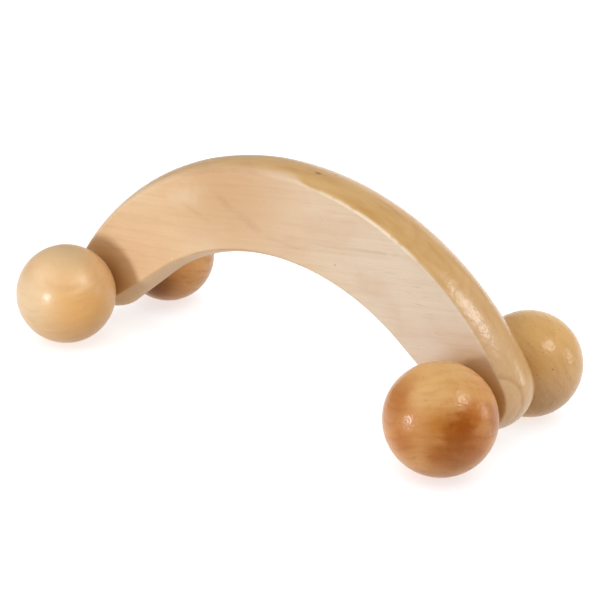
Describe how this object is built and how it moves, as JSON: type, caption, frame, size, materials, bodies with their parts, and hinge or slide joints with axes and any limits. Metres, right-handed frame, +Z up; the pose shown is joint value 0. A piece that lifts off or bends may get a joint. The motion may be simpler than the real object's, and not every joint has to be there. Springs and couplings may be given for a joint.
{
  "type": "wooden roller massager",
  "caption": "Arched wooden hand massager: a crowned bow-shaped handle board that rolls on glossy turned balls, paired on wooden axle dowels at its ends.",
  "frame": {"origin": "on the surface the massager stands on, midway between its balls", "axes": "+X along the handle board, +Y across it from the front balls to the rear balls, +Z up through the crest of the arch"},
  "size_m": [0.2066, 0.0974, 0.0823],
  "materials": {
    "handle_wood": "pale straight-grained hardwood, sanded smooth under a thin satin lacquer",
    "dowel_wood": "plain birch dowel, unlacquered",
    "left_front_ball_wood": "turned ball, pale honey wood under clear gloss lacquer",
    "left_rear_ball_wood": "turned ball, mid brown-tan wood under clear gloss lacquer",
    "right_front_ball_wood": "turned ball, amber wood with brown heartwood under clear gloss lacquer",
    "right_rear_ball_wood": "turned ball, golden tan wood under clear gloss lacquer"
  },
  "bodies": {
    "handle": {"handle": "handle_wood"},
    "left_wheelset": {"left_axle_dowel": "dowel_wood", "left_front_ball": "left_front_ball_wood", "left_rear_ball": "left_rear_ball_wood"},
    "right_wheelset": {"right_axle_dowel": "dowel_wood", "right_front_ball": "right_front_ball_wood", "right_rear_ball": "right_rear_ball_wood"}
  },
  "joints": [
    {"name": "left_wheelset_roll", "type": "hinge", "parent": "handle", "child": "left_wheelset", "pos_m": [-0.0843, 0, 0.019], "axis": [0, 1, 0], "continuous": true},
    {"name": "right_wheelset_roll", "type": "hinge", "parent": "handle", "child": "right_wheelset", "pos_m": [0.0843, 0, 0.019], "axis": [0, 1, 0], "continuous": true}
  ]
}
